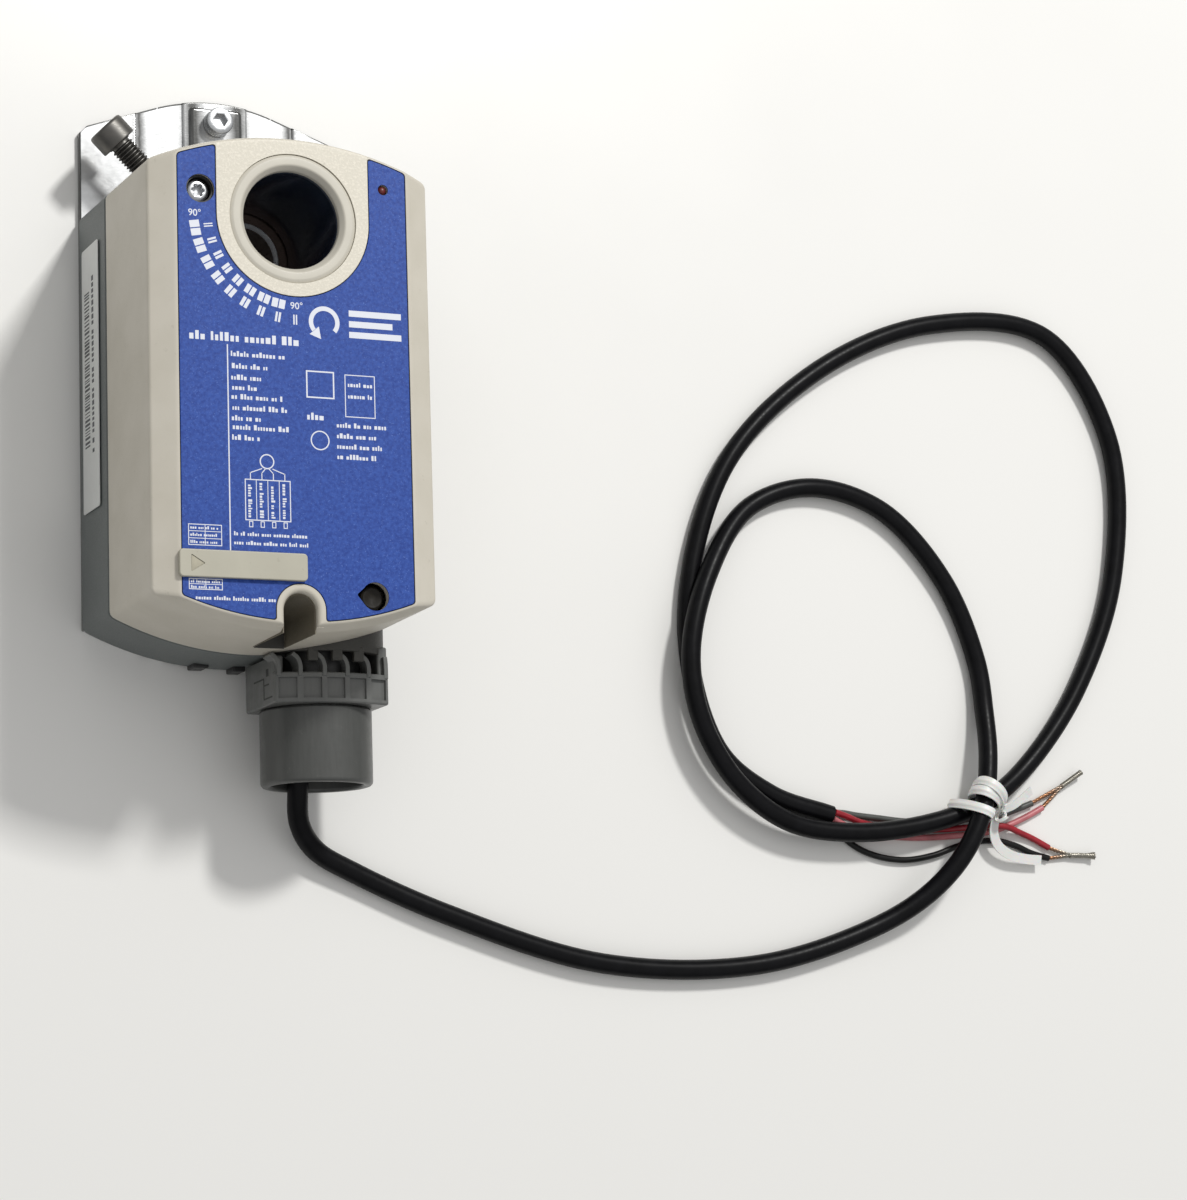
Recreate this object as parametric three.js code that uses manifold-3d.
// Direct-coupled rotary valve actuator with its supply cable, in millimetres, +Z up.
// It lies on its back plate. The hub axis is vertical, and the conduit end points to -Y.
import * as THREE from 'three';
import { mergeVertices } from 'three/addons/utils/BufferGeometryUtils.js';
import Module from 'manifold-3d';

const wasm = await Module();
wasm.setup();

// ---- Driving dimensions -------------------------------------------------------------------

const FIT = 0.3;                 // running and resting clearance between neighbours
const TOUCH = 0.05;              // clearance under a film or a seated part

const HALF_WIDTH = 35;           // housing, at the front crease
const CORNER_TOP = 54.2;         // Y of the housing's upper corners
const CORNER_BOTTOM = -48.6;     // Y of its lower corners
const END_SAG = 8.1;             // rise of the two arched ends over their corners
const WALL = 2.4;                // moulded wall
const DRAFT = 0.014;             // growth of the side walls per millimetre towards the back

const PLATE_TOP = 2;             // back plate's upper face
const SPLIT = 24;                // joint between base and cover
const CREASE = 57.2;             // where the cover's walls turn into its bevel
const FRONT = 60.2;              // the cover's front face
const PAD_HALF = 28.9;           // half width of the flat front face
const PAD_TOP_INSET = 1;
const PAD_BOTTOM_INSET = 1.6;
const LABEL_DEPTH = 0.45;        // recess for the front label

const HUB = new THREE.Vector2(0, 42);
const HUB_BORE = 11.9;
const HUB_OUTER = 13.5;
const RING_OUTER = 15.7;
const LOBE = 18.9;               // plain area round the hub that the label leaves free

const PLATE_APEX = 88.2;         // the plate's reach past the hub, an arc about the hub axis
const PLATE_CORNER = 79;
const PLATE_HALF = 35.4;

const CLAMP_AXIS_Z = 15;         // height of the clamp screw's axis
const CLAMP_ANGLE = THREE.MathUtils.degToRad(135);

const SECTOR_TEETH = 60;         // teeth of the full circle that the sector is cut from
const SECTOR_MODULE = 1;
const SECTOR_HALF_ANGLE = 53;    // degrees
const SECTOR_REST_ANGLE = -35;   // degrees, middle of the sector with the output at rest
const PINION_TEETH = 10;
const WHEEL_A_TEETH = 40;
const WHEEL_B_TEETH = 36;
const MOTOR_TEETH = 12;
const FINE_MODULE = 0.8;
const ANGLE_HUB_A = -80;         // degrees, direction from one gear centre to the next
const ANGLE_A_B = -130;
const ANGLE_B_MOTOR = -40;

const MOTOR_RADIUS = 16;
const GEAR_PLATE_LOW = 24.4;     // underside of the lower gear plate
const GEAR_PLATE_HIGH = 46;      // underside of the upper gear plate
const GEAR_PLATE = 1.5;
const ARBOR = 1.25;

const CONDUIT = { x: 17.8, z: 19 };
const CONDUIT_MOUTH = -88.2;
const SOCKET_OUTER = 13.7;
const SOCKET_BORE = 11.2;
const NECK = 11.9;
const CLIP_HALF = 14.6;

const SETTING_COVER = { x: -13.9, y: -41.9, width: 31, height: 6.5 };
const RELEASE = new THREE.Vector2(18.6, -47.9);
const COVER_SCREW = new THREE.Vector2(-22.8, 47.4);
const LAMP = new THREE.Vector2(22.8, 51);
const NOTCH = { x: 0.2, y: -51.5, inner: 3.8, lip: 6.2 };
const CASE_SCREWS = [[-31.2, 20], [31.2, 20], [-30.4, -41], [30.4, -41]];
const BOARD = { x: -17.4, y: -26, width: 18.8, height: 40, z: 51.5 };
const LEVER_COUNT = 4;
const LEVER_PITCH = 3.6;

const CABLE_RADIUS = 2.6;
const LEAD_RADIUS = 0.85;

// ---- Routes of the cable and of its four leads ---------------------------------------------

const CABLE_ROUTE = [
  [17, -66.5, 13.2], [16.2, -79, 12.7], [15.7, -88.5, 10.9], [17.4, -96, 7], [22.5, -102, 3.8],
  [33, -107.5, 2.6], [58, -118, 2.6], [100, -130.4, 2.6], [145, -131, 2.6], [179, -121.5, 3.8],
  [194, -113, 6.8], [203.5, -103, 9.8], [210, -91, 10.4], [214, -77, 8], [216, -63, 4],
  [215, -48.5, 2.6], [206, -27, 2.6], [188, -8.5, 2.6], [166.5, -3, 2.6], [147, -9.5, 2.9],
  [132.5, -28.5, 6.6], [125.8, -50, 8.1], [128, -67.5, 8.1], [138, -83.5, 7.2], [154, -94, 5.9],
  [174, -96.5, 5.5], [197, -93.7, 5], [214, -88, 4.9], [229, -77.5, 3.2], [247, -55.5, 2.6],
  [261, -23, 2.6], [262, 16, 2.6], [243, 44, 2.6], [206, 45, 2.6], [169, 29, 2.6],
  [139.5, 0, 2.6], [127.5, -42, 2.6], [135, -74.3, 2.6], [150, -86.2, 2.6], [168, -91.7, 2.6],
];
const LEAD_ROUTES = {
  black: [
    [168.1, -92.75, 1.63], [171, -95.6, 1], [174.5, -99, 0.95], [181.1, -102, 0.95],
    [190.4, -103.3, 0.95], [199.6, -102, 0.95], [207.6, -99.4, 0.95], [213.5, -98.2, 0.95],
    [220, -98, 0.95], [225.4, -99.2, 0.95], [230.3, -101.2, 0.95], [235.8, -102.6, 0.95],
  ],
  red: [
    [168.7, -90.9, 3.58], [172.5, -92, 3.1], [176.5, -93.3, 2.3], [182, -94.2, 1.2],
    [188, -94.9, 0.95], [197.6, -95.1, 0.95], [205.2, -94.8, 0.95], [212.8, -94.2, 1.2],
    [218, -93.9, 2.6], [222, -94.3, 2.8], [226.5, -95.6, 1.6], [231.4, -97.4, 0.95],
    [236, -99.7, 0.95],
  ],
  pink: [
    [168.1, -92.75, 3.58], [172, -94.2, 2.4], [176.5, -95.6, 1.6], [182, -96.6, 0.95],
    [188, -97.1, 0.95], [195, -97.3, 0.95], [202.3, -97, 0.95], [209.6, -96.4, 0.95],
    [215, -95.9, 0.95], [220, -94.9, 0.95], [224.5, -93.3, 0.95], [229.4, -91.3, 0.95],
    [234.7, -88.7, 0.95],
  ],
  grey: [
    [168.7, -90.9, 1.63], [172.5, -90.9, 1.1], [176, -91.4, 0.95], [183, -92.1, 0.95],
    [190, -92.8, 0.95], [197.6, -93, 0.95], [205.2, -92.6, 0.95], [212.8, -91.9, 0.95],
    [220.1, -91.2, 0.95], [226.1, -89.4, 0.95], [231.4, -87.5, 0.95],
  ],
};
// Stripped conductors: two short strands that meet in one twisted tip.
const UPPER_TIP = {
  strands: [[[231.75, -87.3, 0.95], [241.5, -82.5, 1.3]], [[235, -88.5, 0.95], [241.5, -82.5, 1.3]]],
  tip: [[241, -82.8, 1.3], [247.2, -78.8, 2]],
};
const LOWER_TIP = {
  strands: [[[236.3, -99.9, 0.95], [243, -101.8, 1.1]], [[236.15, -102.7, 0.95], [243, -101.8, 1.1]]],
  tip: [[242.5, -101.8, 1.1], [250.2, -101.9, 1.5]],
};

// The wire tie: one band round both cable strands where they cross, and its two loose tails.
const TIE = {
  centre: [212, -86.2], heading: 63, across: 1.6, height: 7.33, lean: -58.8,
  long: 7.35, short: 4.75, thickness: 0.6, width: 3.4,
};
const TIE_TAILS = [
  [[218.4, -89.4, 4.95], [220.5, -93, 5], [223.5, -96.6, 4.6], [229, -100.6, 2.9], [237, -103, 2.5]],
  [[218, -89.2, 8.1], [222, -88.6, 7.8], [227, -86.8, 6.6], [231, -85.5, 5.6]],
];

// ---- Materials -----------------------------------------------------------------------------

function finish(color, roughness, metalness = 0) {
  return new THREE.MeshStandardMaterial({ color, roughness, metalness });
}

const FINISH = {
  cover: finish(0xc9c1ae, 0.55),
  base: finish(0x565b5e, 0.55),
  plate: finish(0xd8dadb, 0.18, 1),
  label: finish(0x3355a5, 0.4),
  sticker: finish(0xe8e9ea, 0.4),
  steel: finish(0xb9bcbe, 0.3, 1),
  darkSteel: finish(0x3a3a3b, 0.45, 0.8),
  darkMoulding: finish(0x55534f, 0.5),
  blackMoulding: finish(0x202121, 0.5),
  nylon: finish(0xe9e4d4, 0.5),
  brass: finish(0xb9923e, 0.35, 1),
  board: finish(0x1f5b38, 0.5),
  copper: finish(0xb27a4e, 0.3, 1),
  tie: finish(0xe9e9e6, 0.5),
  black: finish(0x151515, 0.45),
  red: finish(0xa82f33, 0.4),
  pink: finish(0xc9737a, 0.4),
  grey: finish(0x4a4c4a, 0.4),
  lamp: finish(0x6a2a24, 0.3),
};

const actuator = new THREE.Group();
actuator.name = 'valve_actuator';

function place(name, geometry, material) {
  const mesh = new THREE.Mesh(geometry, material);
  mesh.name = name;
  actuator.add(mesh);
}

// ---- Geometry helpers ----------------------------------------------------------------------

function solidOf(geometry) {
  const bare = geometry.clone();
  bare.deleteAttribute('normal');
  bare.deleteAttribute('uv');
  const merged = mergeVertices(bare, 1e-4);
  return new wasm.Manifold(new wasm.Mesh({
    numProp: 3,
    vertProperties: new Float32Array(merged.attributes.position.array),
    triVerts: new Uint32Array(merged.index.array),
  }));
}

function geometryOf(solid) {
  const mesh = solid.getMesh();
  const geometry = new THREE.BufferGeometry();
  geometry.setAttribute('position', new THREE.BufferAttribute(new Float32Array(mesh.vertProperties), 3));
  geometry.setIndex(new THREE.BufferAttribute(new Uint32Array(mesh.triVerts), 1));
  geometry.computeVertexNormals();
  return geometry;
}

function cut(body, ...tools) {
  return tools.reduce((left, tool) => left.subtract(solidOf(tool)), solidOf(body));
}

function join(body, ...others) {
  return geometryOf(others.reduce((whole, other) => whole.add(solidOf(other)), solidOf(body)));
}

function cutGeometry(body, ...tools) {
  return geometryOf(cut(body, ...tools));
}

// A solid between outlines of equal point count, each at its own height, lowest first.
function loft(levels) {
  const count = levels[0].outline.length;
  const positions = levels.flatMap(({ z, outline }) => outline.flatMap((p) => [p.x, p.y, z]));
  const faces = THREE.ShapeUtils.triangulateShape(levels[0].outline, []);
  const top = (levels.length - 1) * count;
  const index = faces.flatMap(([a, b, c]) => [c, b, a, top + a, top + b, top + c]);
  for (let level = 0; level < levels.length - 1; level += 1) {
    for (let i = 0; i < count; i += 1) {
      const a = level * count + i;
      const b = level * count + ((i + 1) % count);
      index.push(a, b, b + count, a, b + count, a + count);
    }
  }
  const geometry = new THREE.BufferGeometry();
  geometry.setAttribute('position', new THREE.Float32BufferAttribute(positions, 3));
  geometry.setIndex(index);
  return geometry;
}

function slab(shape, low, high, curveSegments = 12) {
  const depth = high - low;
  return new THREE.ExtrudeGeometry(shape, { depth, bevelEnabled: false, curveSegments })
    .translate(0, 0, low);
}

function block(x0, x1, y0, y1, z0, z1) {
  return new THREE.BoxGeometry(x1 - x0, y1 - y0, z1 - z0)
    .translate((x0 + x1) / 2, (y0 + y1) / 2, (z0 + z1) / 2);
}

function disc(x, y, radius, low, high, segments = 24) {
  return new THREE.CylinderGeometry(radius, radius, high - low, segments)
    .rotateX(Math.PI / 2)
    .translate(x, y, (low + high) / 2);
}

// A body of revolution about +Z through (x, y); the profile's points are [radius, height].
function turned(x, y, profile, segments = 28) {
  const points = profile.map(([radius, height]) => new THREE.Vector2(radius, height));
  const geometry = new THREE.LatheGeometry(points, segments).rotateX(Math.PI / 2);
  return geometry.translate(x, y, 0);
}

function ringProfile(inner, outer, low, high) {
  return [[inner, low], [outer, low], [outer, high], [inner, high], [inner, low]];
}

// Turns geometry made about +Z so that its axis is -Y and its height 0 lies at the given point.
function alongMinusY(geometry, x, y, z) {
  return geometry.rotateX(Math.PI / 2).translate(x, y, z);
}

function roundedRectangle(x0, x1, y0, y1, radius) {
  const shape = new THREE.Shape();
  shape.absarc(x1 - radius, y1 - radius, radius, 0, Math.PI / 2);
  shape.absarc(x0 + radius, y1 - radius, radius, Math.PI / 2, Math.PI);
  shape.absarc(x0 + radius, y0 + radius, radius, Math.PI, Math.PI * 1.5);
  shape.absarc(x1 - radius, y0 + radius, radius, Math.PI * 1.5, Math.PI * 2);
  return shape;
}

function polar(origin, radius, degrees) {
  const angle = THREE.MathUtils.degToRad(degrees);
  return new THREE.Vector2(origin.x + radius * Math.cos(angle), origin.y + radius * Math.sin(angle));
}

// The housing's outline: straight sides and two arched ends, moved inwards by the insets.
function housingOutline(inset, options = {}) {
  const { half = HALF_WIDTH - inset, topInset = inset, bottomInset = inset, steps = 14 } = options;
  const radius = (HALF_WIDTH ** 2 + END_SAG ** 2) / (2 * END_SAG);
  const arch = (x) => radius - Math.sqrt(radius ** 2 - x ** 2);
  const points = [];
  for (let i = 0; i <= steps; i += 1) {
    const x = half - (2 * half * i) / steps;
    points.push(new THREE.Vector2(x, CORNER_TOP + END_SAG - topInset - arch(x)));
  }
  for (let i = 0; i <= steps; i += 1) {
    const x = -half + (2 * half * i) / steps;
    points.push(new THREE.Vector2(x, CORNER_BOTTOM - END_SAG + bottomInset + arch(x)));
  }
  return points;
}

// A tube through hand-chosen points.
function tube(points, radius, steps, sides) {
  const curve = new THREE.CatmullRomCurve3(points.map((p) => new THREE.Vector3(...p)), false, 'centripetal');
  const section = new THREE.Shape();
  for (let i = 0; i < sides; i += 1) {
    const angle = (2 * Math.PI * i) / sides;
    const x = radius * Math.cos(angle);
    const y = radius * Math.sin(angle);
    if (i === 0) section.moveTo(x, y);
    else section.lineTo(x, y);
  }
  section.closePath();
  return new THREE.ExtrudeGeometry(section, { steps, extrudePath: curve, bevelEnabled: false });
}

// A flat strip through the given points, lying level across its width.
function strip(points, width, thickness) {
  const curve = new THREE.CatmullRomCurve3(points.map((p) => new THREE.Vector3(...p)), false, 'centripetal');
  const steps = points.length * 2;
  const positions = [];
  const index = [0, 2, 1, 0, 3, 2];
  for (let i = 0; i <= steps; i += 1) {
    const at = curve.getPoint(i / steps);
    const ahead = curve.getTangent(i / steps);
    const side = new THREE.Vector3(-ahead.y, ahead.x, 0).normalize().multiplyScalar(width / 2);
    [[1, 1], [-1, 1], [-1, -1], [1, -1]].forEach(([a, b]) => {
      positions.push(at.x + a * side.x, at.y + a * side.y, at.z + (b * thickness) / 2);
    });
    for (let k = 0; k < 4 && i < steps; k += 1) {
      const a = 4 * i + k;
      const b = 4 * i + ((k + 1) % 4);
      index.push(a, b, a + 4, b, b + 4, a + 4);
    }
  }
  const end = 4 * steps;
  index.push(end, end + 1, end + 2, end, end + 2, end + 3);
  const geometry = new THREE.BufferGeometry();
  geometry.setAttribute('position', new THREE.Float32BufferAttribute(positions, 3));
  geometry.setIndex(index);
  return geometry;
}

// Spur gear outline with straight-flanked teeth; a tooth sits at toothAngle, in degrees.
// Teeth further than halfSpan from the outline's middle are left off, which makes a sector.
function gearShape(center, teeth, module, toothAngle, sector = null) {
  const pitch = 360 / teeth;
  const pitchRadius = (teeth * module) / 2;
  const tip = pitchRadius + 0.75 * module;
  const root = pitchRadius - 1.15 * module;
  const shape = new THREE.Shape();
  const points = [];
  const first = sector ? Math.ceil((sector.from - toothAngle) / pitch) : 0;
  const last = sector ? Math.floor((sector.to - toothAngle) / pitch) : teeth - 1;
  for (let i = first; i <= last; i += 1) {
    const middle = toothAngle + i * pitch;
    points.push(polar(center, root, middle - 0.29 * pitch));
    points.push(polar(center, tip, middle - 0.13 * pitch));
    points.push(polar(center, tip, middle + 0.13 * pitch));
    points.push(polar(center, root, middle + 0.29 * pitch));
  }
  if (sector) {
    for (let i = 0; i <= sector.hubSteps; i += 1) {
      const angle = sector.to + ((sector.from + 360 - sector.to) * i) / sector.hubSteps;
      points.push(polar(center, sector.hubRadius, angle));
    }
  }
  shape.setFromPoints(points);
  return shape;
}

// ---- Gear centres --------------------------------------------------------------------------

const GEAR_A = polar(HUB, ((SECTOR_TEETH + PINION_TEETH) * SECTOR_MODULE) / 2, ANGLE_HUB_A);
const GEAR_B = polar(GEAR_A, ((WHEEL_A_TEETH + PINION_TEETH) * FINE_MODULE) / 2, ANGLE_A_B);
const MOTOR = polar(GEAR_B, ((WHEEL_B_TEETH + MOTOR_TEETH) * FINE_MODULE) / 2, ANGLE_B_MOTOR);

// ---- Back plate and housing ----------------------------------------------------------------

function plateOutline() {
  const reach = PLATE_APEX - HUB.y;
  const turn = THREE.MathUtils.degToRad(19);
  const lower = housingOutline(0).slice(15).map((p) => new THREE.Vector2(p.x * 1.01, p.y));
  const shape = new THREE.Shape();
  shape.moveTo(PLATE_HALF, PLATE_CORNER - 2);
  shape.lineTo(PLATE_HALF - 2, PLATE_CORNER);
  shape.absarc(HUB.x, HUB.y, reach, Math.PI / 2 - turn, Math.PI / 2 + turn, false);
  shape.lineTo(-PLATE_HALF + 2, PLATE_CORNER);
  shape.lineTo(-PLATE_HALF, PLATE_CORNER - 2);
  lower.forEach((p) => shape.lineTo(p.x, p.y));
  return shape;
}

function addPlate() {
  const holes = CASE_SCREWS.map(([x, y]) => disc(x, y, 3, -1, PLATE_TOP + 1, 16));
  const shaftHole = disc(HUB.x, HUB.y, 13, -1, PLATE_TOP + 1, 32);
  const pad = block(-6.4, 6.4, 70, 86.2, PLATE_TOP - 1, 3);
  const screwHole = disc(0, 82.3, 1.9, -1, 4, 16);
  const body = join(slab(plateOutline(), 0, PLATE_TOP, 16), pad);
  place('back_plate', cutGeometry(body, ...holes, shaftHole, screwHole), FINISH.plate);

  const head = turned(0, 82.3, [[0, 0.3], [1.6, 0.3], [1.6, 3.3], [3.5, 3.3], [3.5, 6.6], [0, 6.6]], 18);
  const socket = new THREE.CylinderGeometry(1.75, 1.75, 2.4, 6).rotateX(Math.PI / 2).translate(0, 82.3, 6.6);
  place('plate_screw', cutGeometry(head, socket), FINISH.steel);
}

function addBase() {
  const low = PLATE_TOP + TOUCH;
  const outer = loft([
    { z: low, outline: housingOutline(-DRAFT * (CREASE - low)) },
    { z: SPLIT, outline: housingOutline(-DRAFT * (CREASE - SPLIT)) },
  ]);
  const chamber = new THREE.Shape();
  chamber.absarc(HUB.x, HUB.y, 29.5, Math.PI, 2 * Math.PI, false);
  chamber.lineTo(29.5, 80);
  chamber.lineTo(-29.5, 80);
  const bay = new THREE.Shape();
  const bayOutline = housingOutline(WALL).slice(15);
  bay.setFromPoints([new THREE.Vector2(32.6, 9), new THREE.Vector2(-32.6, 9), ...bayOutline]);
  const bossPlugs = CASE_SCREWS.slice(2).map(([x, y]) => disc(x, y, 4, 3, SPLIT, 20));
  const hollow = cutGeometry(outer, slab(chamber, low - 1, SPLIT - 2.2, 24), slab(bay, 3.6, SPLIT + 1, 4));
  const body = join(hollow, ...bossPlugs);
  const screwHoles = CASE_SCREWS.map(([x, y]) => disc(x, y, 1.6, 0, SPLIT + 1, 12));
  const hubHole = disc(HUB.x, HUB.y, RING_OUTER, SPLIT - 4, SPLIT + 1, 32);
  const neck = alongMinusY(turned(0, 0, [[0, 0], [NECK + 0.8, 0], [NECK + 0.8, 12], [0, 12]], 24),
    CONDUIT.x, -48, CONDUIT.z);
  const archSide = block(CONDUIT.x - NECK - 0.8, CONDUIT.x + NECK + 0.8, -60, -48, CONDUIT.z, SPLIT + 1);
  const lugs = [block(-9.4, -5.6, -57.9, -54.6, low, 8), block(0.6, 3.8, -58.6, -55, low, 8)];
  place('base_housing', join(cutGeometry(body, ...screwHoles, hubHole, neck, archSide), ...lugs), FINISH.base);
}

function addCover() {
  const low = SPLIT + FIT;
  const pad = { half: PAD_HALF, topInset: PAD_TOP_INSET, bottomInset: PAD_BOTTOM_INSET };
  const outer = loft([
    { z: low, outline: housingOutline(-DRAFT * (CREASE - low)) },
    { z: CREASE, outline: housingOutline(0) },
    { z: FRONT, outline: housingOutline(0, pad) },
  ]);
  const inner = loft([
    { z: low - 1, outline: housingOutline(WALL) },
    { z: CREASE - 1.4, outline: housingOutline(WALL) },
    { z: FRONT - WALL, outline: housingOutline(0, { half: 27.5, topInset: 3.4, bottomInset: 4 }) },
  ]);
  const columns = [
    ...CASE_SCREWS.map(([x, y]) => disc(x, y, 3.2, low, CREASE, 16)),
    disc(COVER_SCREW.x, COVER_SCREW.y, 4.4, low, FRONT - 1, 20),
    disc(HUB.x, HUB.y, 17.6, 49.5, FRONT - 1, 32),
    block(NOTCH.x - NOTCH.lip, NOTCH.x + NOTCH.lip, -56, NOTCH.y + NOTCH.lip - 0.5, 35, FRONT - 1),
  ];
  const body = join(cutGeometry(outer, inner), ...columns);

  const channel = new THREE.Shape();
  channel.absarc(NOTCH.x, NOTCH.y, NOTCH.inner, 0, Math.PI, false);
  channel.lineTo(NOTCH.x - NOTCH.inner, -62);
  channel.lineTo(NOTCH.x + NOTCH.inner, -62);
  const archRadius = 17;
  const arch = alongMinusY(turned(0, 0, [[0, 0], [archRadius, 0], [archRadius, 16], [0, 16]], 32),
    CONDUIT.x, -46, CONDUIT.z);
  const holes = [
    ...CASE_SCREWS.map(([x, y]) => disc(x, y, 1.6, low - 1, 38, 12)),
    disc(HUB.x, HUB.y, RING_OUTER + FIT, 48, FRONT + 1, 40),
    disc(COVER_SCREW.x, COVER_SCREW.y, 1.8, low - 1, 58, 14),
    disc(COVER_SCREW.x, COVER_SCREW.y, 3.4, 55.5, FRONT + 1, 20),
    disc(RELEASE.x, RELEASE.y, 3.5, 50, FRONT + 1, 24),
    disc(LAMP.x, LAMP.y, 1.3, 50, FRONT + 1, 12),
    block(-27.2, -9.4, -44.4, -39.4, 50, FRONT + 1),
    slab(channel, 36.5, FRONT + 1, 10),
    arch,
    slab(labelShape(0), FRONT - LABEL_DEPTH, FRONT + 1, 20),
  ];
  place('front_cover', cutGeometry(body, ...holes), FINISH.cover);
}

// The label covers the flat face, except for the lobe round the hub and the notch's lip.
function labelShape(gap) {
  const outline = housingOutline(0, {
    half: PAD_HALF - 0.3 - gap, topInset: PAD_TOP_INSET + 0.5 + gap, bottomInset: PAD_BOTTOM_INSET + 0.5 + gap,
  });
  const top = outline.slice(0, 15);
  const bottom = outline.slice(15);
  const shape = new THREE.Shape();
  const lobe = LOBE + gap;
  const lip = NOTCH.lip + 0.2 + gap;
  const right = top.filter((p) => p.x > lobe + 0.5);
  const left = top.filter((p) => p.x < -lobe - 0.5);
  const tongueTop = Math.min(right[right.length - 1].y + 1.2, 60.4);
  shape.setFromPoints(right);
  shape.lineTo(HUB.x + lobe, tongueTop);
  shape.lineTo(HUB.x + lobe, HUB.y);
  shape.absarc(HUB.x, HUB.y, lobe, 0, Math.PI, true);
  shape.lineTo(HUB.x - lobe, tongueTop);
  left.forEach((p) => shape.lineTo(p.x, p.y));
  bottom.filter((p) => p.x < NOTCH.x - lip).forEach((p) => shape.lineTo(p.x, p.y));
  shape.lineTo(NOTCH.x - lip, -53.9);
  shape.lineTo(NOTCH.x - lip, NOTCH.y);
  shape.absarc(NOTCH.x, NOTCH.y, lip, Math.PI, 0, true);
  shape.lineTo(NOTCH.x + lip, -53.9);
  bottom.filter((p) => p.x > NOTCH.x + lip).forEach((p) => shape.lineTo(p.x, p.y));
  shape.closePath();
  return shape;
}

function addLabels() {
  const film = slab(labelShape(0.15), FRONT - LABEL_DEPTH + TOUCH, FRONT - TOUCH, 20);
  const tear = new THREE.Shape();
  tear.moveTo(RELEASE.x - 4.7, RELEASE.y + 0.3);
  tear.absarc(RELEASE.x, RELEASE.y, 3.6, Math.PI * 1.25, Math.PI * 0.72, false);
  const holes = [
    slab(tear, 59, 62, 16),
    disc(COVER_SCREW.x, COVER_SCREW.y, 3.6, 59, 62, 24),
    disc(LAMP.x, LAMP.y, 1.4, 59, 62, 12),
    block(-27.4, -9.2, -44.6, -39.2, 59, 62),
  ];
  place('front_label', cutGeometry(film, ...holes), FINISH.label);

  const slope = DRAFT * (CREASE - 13);
  const sticker = new THREE.BoxGeometry(0.2, 66, 14).translate(-HALF_WIDTH - slope - 0.35, 12, 12.4);
  place('side_label', sticker, FINISH.sticker);
}

function addCaseScrews() {
  CASE_SCREWS.forEach(([x, y], i) => {
    const profile = [[0, 0.15], [2.6, 0.15], [1.2, 1.8], [1.2, 34], [0, 34]];
    place(`case_screw_${i + 1}`, turned(x, y, profile, 12), FINISH.steel);
  });
  const body = turned(COVER_SCREW.x, COVER_SCREW.y,
    [[0, 26], [1.4, 26], [1.4, 55.8], [2.9, 55.8], [2.9, 57.8], [2.4, 58.3], [0, 58.3]], 20);
  const star = new THREE.CylinderGeometry(1.25, 1.25, 1.6, 6).rotateX(Math.PI / 2)
    .translate(COVER_SCREW.x, COVER_SCREW.y, 58);
  place('cover_screw', cutGeometry(body, star), FINISH.steel);
}

// ---- Output: hub, bushes, sector and shaft clamp -------------------------------------------

function addHub() {
  const cap = FRONT - 2.3;
  const front = [[HUB_BORE, cap], [HUB_OUTER + FIT, cap], [HUB_OUTER + FIT, 50.5], [RING_OUTER, 50.5],
    [RING_OUTER, FRONT], [HUB_BORE, FRONT], [HUB_BORE, cap]];
  place('hub_bush_front', turned(HUB.x, HUB.y, front, 40), FINISH.cover);
  place('hub_bush_rear', turned(HUB.x, HUB.y, ringProfile(HUB_OUTER + FIT, RING_OUTER - FIT, 21.95, 24.2), 32),
    FINISH.nylon);
  const sleeve = [[HUB_BORE, 21.6], [HUB_OUTER, 21.6], [HUB_OUTER, 57.6], [HUB_BORE, 57.6], [HUB_BORE, 21.6]];
  place('output_hub', turned(HUB.x, HUB.y, sleeve, 36), FINISH.darkSteel);
  place('hub_retaining_ring', turned(HUB.x, HUB.y, ringProfile(HUB_OUTER + FIT, 15.6, 35.3, 36.4), 32),
    FINISH.steel);

  const from = SECTOR_REST_ANGLE - SECTOR_HALF_ANGLE;
  const to = SECTOR_REST_ANGLE + SECTOR_HALF_ANGLE;
  const shape = gearShape(HUB, SECTOR_TEETH, SECTOR_MODULE, ANGLE_HUB_A,
    { from, to, hubRadius: 16.8, hubSteps: 14 });
  const bore = disc(HUB.x, HUB.y, HUB_OUTER + FIT, 20, 40, 32);
  place('drive_sector', cutGeometry(slab(shape, 28, 34), bore), FINISH.darkSteel);
}

// The clamp is built pointing along +X from the hub axis, then turned to its rest angle.
function clampPiece(geometry) {
  return geometry.rotateZ(CLAMP_ANGLE).translate(HUB.x, HUB.y, 0);
}

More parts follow.
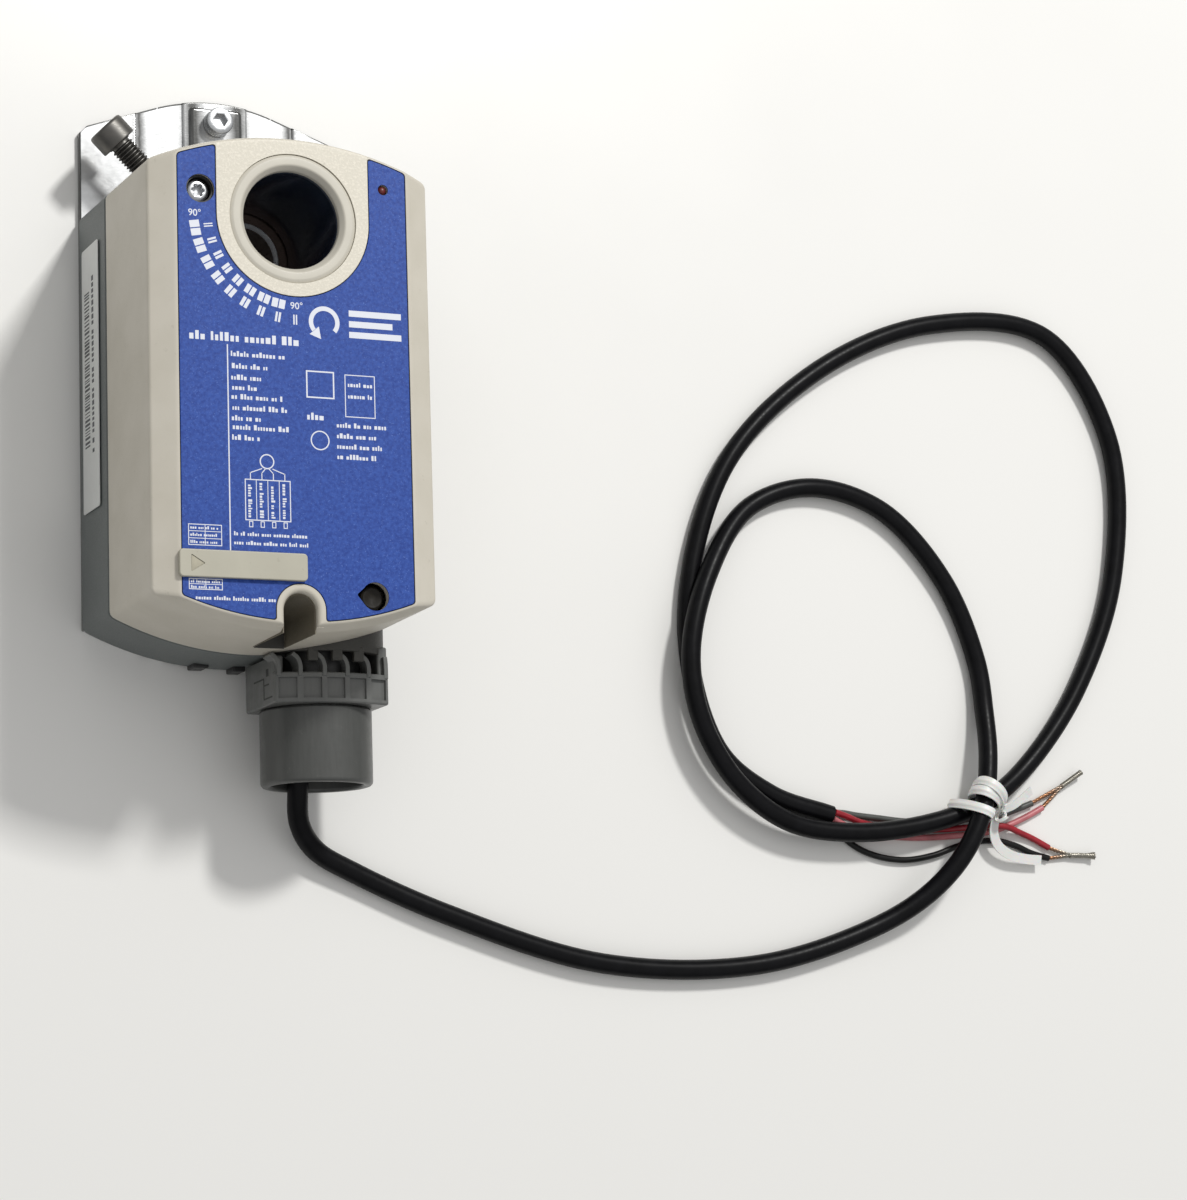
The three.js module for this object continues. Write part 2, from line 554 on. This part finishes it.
function addClamp() {
  const low = 6.8;
  const high = 21.3;
  const arm = roundedRectangle(0, 28, -8.5, 8.5, 3);
  const throat = block(0, 21.5, -5.9, 5.9, 9.6, 20.4);
  const screwHole = new THREE.CylinderGeometry(3.3, 3.3, 12, 16).rotateZ(Math.PI / 2)
    .translate(25, 0, CLAMP_AXIS_Z);
  const shaftHole = disc(0, 0, 8.2, low - 1, high + 1, 28);
  const body = join(disc(0, 0, 17, low, high, 32), slab(arm, low, high, 6));
  place('clamp_body', clampPiece(cutGeometry(body, shaftHole, throat, screwHole)), FINISH.darkSteel);

  const jaw = block(12.5, 20.2, -5.6, 5.6, 9.9, 20.1);
  const vee = new THREE.CylinderGeometry(5.4, 5.4, 14, 4).rotateX(Math.PI / 2).rotateZ(Math.PI / 4)
    .translate(9.6, 0, CLAMP_AXIS_Z);
  place('clamp_jaw', clampPiece(cutGeometry(jaw, vee.rotateZ(0))), FINISH.steel);

  const profile = [[0, 20.6], [3, 20.6], [3, 40.9], [4.8, 40.9], [4.8, 46], [4.4, 46.4], [0, 46.4]];
  const screw = turned(0, 0, profile, 20);
  const hex = new THREE.CylinderGeometry(2.9, 2.9, 6, 6).rotateX(Math.PI / 2).translate(0, 0, 46.4);
  const lying = cutGeometry(screw, hex).rotateY(Math.PI / 2).translate(0, 0, CLAMP_AXIS_Z);
  place('clamp_screw', clampPiece(lying), FINISH.black);
}

// ---- Gear train and motor ------------------------------------------------------------------

const PILLARS = [[-24, -30], [23.5, -2], [-23.5, 4], [24.5, 16]];

function addGearPlates() {
  const lowShape = roundedRectangle(-27.4, 27.4, -39, 55, 4);
  const low = GEAR_PLATE_LOW;
  const lowHoles = [
    disc(HUB.x, HUB.y, HUB_OUTER + 0.6, low - 1, low + 3, 32),
    disc(MOTOR.x, MOTOR.y, MOTOR_RADIUS + FIT, low - 1, low + 3, 36),
    disc(COVER_SCREW.x, COVER_SCREW.y, 5, low - 1, low + 3, 20),
    disc(GEAR_A.x, GEAR_A.y, ARBOR + FIT, low - 1, low + 3, 12),
    disc(GEAR_B.x, GEAR_B.y, ARBOR + FIT, low - 1, low + 3, 12),
    block(24, 30, -45, -36, low - 1, low + 3),
    block(-30, -24, -45, -36, low - 1, low + 3),
  ];
  place('gear_plate_lower', cutGeometry(slab(lowShape, low, low + GEAR_PLATE, 5), ...lowHoles), FINISH.steel);

  const high = GEAR_PLATE_HIGH;
  const highHoles = [
    disc(GEAR_A.x, GEAR_A.y, ARBOR + FIT, high - 1, high + 3, 12),
    disc(GEAR_B.x, GEAR_B.y, ARBOR + FIT, high - 1, high + 3, 12),
  ];
  const highShape = roundedRectangle(-27, 27, -33, 22, 4);
  place('gear_plate_upper', cutGeometry(slab(highShape, high, high + GEAR_PLATE, 5), ...highHoles), FINISH.steel);
  PILLARS.forEach(([x, y], i) => {
    const bottom = low + GEAR_PLATE + TOUCH;
    place(`gear_pillar_${i + 1}`, disc(x, y, 2, bottom, high - TOUCH, 12), FINISH.steel);
  });
}

function addGearTrain() {
  const bore = (p) => disc(p.x, p.y, ARBOR + FIT, 20, 50, 12);
  const half = 180 / PINION_TEETH;
  const pinionA = slab(gearShape(GEAR_A, PINION_TEETH, SECTOR_MODULE, ANGLE_HUB_A + 180 + half), 27.4, 35);
  const wheelA = slab(gearShape(GEAR_A, WHEEL_A_TEETH, FINE_MODULE, ANGLE_A_B), 35, 38.4);
  place('idler_gear_a', geometryOf(cut(join(pinionA, wheelA), bore(GEAR_A))), FINISH.nylon);

  const pinionB = slab(gearShape(GEAR_B, PINION_TEETH, FINE_MODULE, ANGLE_A_B + 180 + half), 34.6, 40.6);
  const wheelB = slab(gearShape(GEAR_B, WHEEL_B_TEETH, FINE_MODULE, ANGLE_B_MOTOR), 40.6, 43.6);
  place('idler_gear_b', geometryOf(cut(join(pinionB, wheelB), bore(GEAR_B))), FINISH.nylon);

  const arborLow = GEAR_PLATE_LOW + 0.2;
  const arborHigh = GEAR_PLATE_HIGH + GEAR_PLATE;
  place('idler_arbor_a', disc(GEAR_A.x, GEAR_A.y, ARBOR, arborLow, arborHigh, 12), FINISH.steel);
  place('idler_arbor_b', disc(GEAR_B.x, GEAR_B.y, ARBOR, arborLow, arborHigh, 12), FINISH.steel);
}

function addMotor() {
  const can = [[0, 5], [15, 5], [MOTOR_RADIUS, 6], [MOTOR_RADIUS, 32], [15, 33], [4.4, 33], [4.4, 34.4],
    [1.4, 34.4], [1.4, 25], [0, 25]];
  place('motor', turned(MOTOR.x, MOTOR.y, can, 36), FINISH.steel);
  const half = 180 / MOTOR_TEETH;
  const teeth = slab(gearShape(MOTOR, MOTOR_TEETH, FINE_MODULE, ANGLE_B_MOTOR + 180 + half), 40.4, 44);
  place('motor_pinion', join(teeth, disc(MOTOR.x, MOTOR.y, 1.1, 25.4, 44.6, 12)), FINISH.brass);
}

// ---- Circuit board, settings, release button -----------------------------------------------

function addElectronics() {
  const { x, y, width, height, z } = BOARD;
  const top = z + 1.6;
  place('circuit_board', slab(roundedRectangle(x - width / 2, x + width / 2, y - height / 2, y + height / 2, 1),
    z, top, 3), FINISH.board);
  const switchBody = block(-26.6, -10, -44.1, -39.7, top + TOUCH, 57.2);
  const slots = [];
  for (let i = 0; i < LEVER_COUNT; i += 1) {
    const middle = SETTING_COVER.x - 4.4 + (i - (LEVER_COUNT - 1) / 2) * LEVER_PITCH;
    slots.push(block(middle - 1.1, middle + 1.1, -43.4, -40.2, 55.2, 58));
    const lever = block(middle - 0.8, middle + 0.8, -43.1, -41.7, 55.5, 58.8);
    place(`setting_lever_${i + 1}`, lever, FINISH.nylon);
  }
  place('switch_block', cutGeometry(switchBody, ...slots), FINISH.blackMoulding);
  const capacitor = [[0, 34], [3.6, 34], [4.2, 34.6], [4.2, 51], [3.6, 51.2], [0, 51.2]];
  place('motor_capacitor', turned(-17, -40.6, capacitor, 20), FINISH.blackMoulding);
  place('wire_terminal', block(-14, -9, -34, -20, top + TOUCH, 57), FINISH.blackMoulding);
  const lamp = [[0, 57.2], [1, 57.2], [1, FRONT - 0.5], [0.6, FRONT - 0.2], [0, FRONT - 0.2]];
  place('indicator_lamp', turned(LAMP.x, LAMP.y, lamp, 12), FINISH.lamp);
}

function addSettingCover() {
  const { x, y, width, height } = SETTING_COVER;
  const bar = slab(roundedRectangle(x - width / 2, x + width / 2, y - height / 2, y + height / 2, 1),
    FRONT + 0.1, FRONT + 1.2, 5);
  const arrow = new THREE.Shape();
  arrow.moveTo(x - width / 2 + 2.6, y - 2);
  arrow.lineTo(x - width / 2 + 6.4, y);
  arrow.lineTo(x - width / 2 + 2.6, y + 2);
  place('setting_cover', cutGeometry(bar, slab(arrow, FRONT + 0.9, FRONT + 2)), FINISH.cover);
}

function addRelease() {
  const stem = [[0, 44.4], [1.3, 44.4], [1.3, 54], [2.9, 54], [2.9, 57.4], [2.4, 57.9], [0, 57.9]];
  place('release_button', turned(RELEASE.x, RELEASE.y, stem, 20), FINISH.blackMoulding);
  const spring = ringProfile(1.7, 2.5, 48.2, 53.7);
  place('release_spring', turned(RELEASE.x, RELEASE.y, spring, 16), FINISH.steel);
  const seat = cutGeometry(block(13.5, 24.5, -50.2, -44.8, 46.2, 47.9), disc(RELEASE.x, RELEASE.y, 1.6, 45, 50, 14));
  place('release_bracket', seat, FINISH.steel);
}

// ---- Conduit adapter and cable -------------------------------------------------------------

function addConduit() {
  const { x, z } = CONDUIT;
  const depth = -CONDUIT_MOUTH;
  const socket = [[SOCKET_BORE, depth], [SOCKET_BORE, 70], [9, 70], [9, 53], [NECK, 53], [NECK, 69.7],
    [SOCKET_OUTER, 69.7], [SOCKET_OUTER, depth - 0.5], [SOCKET_OUTER - 0.5, depth], [SOCKET_BORE, depth]];
  place('conduit_socket', alongMinusY(turned(0, 0, socket, 36), x, 0, z), FINISH.darkMoulding);

  const section = new THREE.Shape();
  section.moveTo(-CLIP_HALF, -10);
  section.lineTo(CLIP_HALF, -10);
  section.lineTo(CLIP_HALF, 12.2);
  section.quadraticCurveTo(0, 18.6, -CLIP_HALF, 12.2);
  const clipLow = 62;
  const clipHigh = 69.4;
  const lying = (geometry) => alongMinusY(geometry, x, 0, z);
  const shell = slab(section, clipLow, clipHigh, 10);
  const fingers = [-11.6, -5.8, 0, 5.8, 11.6].map((offset) => {
    const top = 15.2 - (offset / CLIP_HALF) ** 2 * 2.6;
    return block(offset - 0.7, offset + 0.7, top - 2, top + 0.4, 57.6, clipLow + 1);
  });
  const cheeks = [-1, 1].map((side) => {
    const inner = side * (CLIP_HALF - 2);
    const start = side < 0 ? 57.8 : 55;
    return block(Math.min(inner, side * CLIP_HALF), Math.max(inner, side * CLIP_HALF), -10, 11.5, start, clipLow + 1);
  });
  const bore = disc(0, 0, NECK + FIT, 50, 80, 32);
  place('conduit_clip', lying(cutGeometry(join(shell, ...fingers, ...cheeks), bore)), FINISH.darkMoulding);

  const relief = [[0, 55], [8.6, 55], [8.6, 62], [5, 63.5], [5, 66.2], [0, 66.2]];
  const plug = turned(0, 0, relief, 24);
  const hole = disc(-0.8, -5.8, CABLE_RADIUS + FIT, 50, 70, 14);
  place('strain_relief', lying(cutGeometry(plug, hole)), FINISH.blackMoulding);
}

function addCable() {
  place('cable_jacket', tube(CABLE_ROUTE, CABLE_RADIUS, 80, 8), FINISH.black);
  Object.entries(LEAD_ROUTES).forEach(([colour, route]) => {
    place(`lead_${colour}`, tube(route, LEAD_RADIUS, 20, 8), FINISH[colour]);
  });
  [['bare_tip_upper', UPPER_TIP], ['bare_tip_lower', LOWER_TIP]].forEach(([name, { strands, tip }]) => {
    place(name, join(tube(tip, 0.8, 1, 8), ...strands.map((s) => tube(s, 0.6, 1, 8))), FINISH.copper);
  });
}

function addTie() {
  const { centre, heading, across, height, lean, long, short, thickness, width } = TIE;
  const tilt = THREE.MathUtils.degToRad(lean);
  const oval = (a, b, depth) => {
    const shape = new THREE.Shape();
    shape.absellipse(across, height, a, b, 0, 2 * Math.PI, false, tilt);
    return new THREE.ExtrudeGeometry(shape, { depth, bevelEnabled: false, curveSegments: 10 })
      .translate(0, 0, -depth / 2)
      .rotateX(Math.PI / 2)
      .rotateZ(THREE.MathUtils.degToRad(heading - 90))
      .translate(centre[0], centre[1], 0);
  };
  const band = cutGeometry(oval(long + thickness, short + thickness, width), oval(long, short, width + 2));
  place('twist_tie', join(band, ...TIE_TAILS.map((route) => strip(route, 3, 0.5))), FINISH.tie);
}

addPlate();
addBase();
addCover();
addLabels();
addCaseScrews();
addHub();
addClamp();
addGearPlates();
addGearTrain();
addMotor();
addElectronics();
addSettingCover();
addRelease();
addConduit();
addCable();
addTie();

export default actuator;
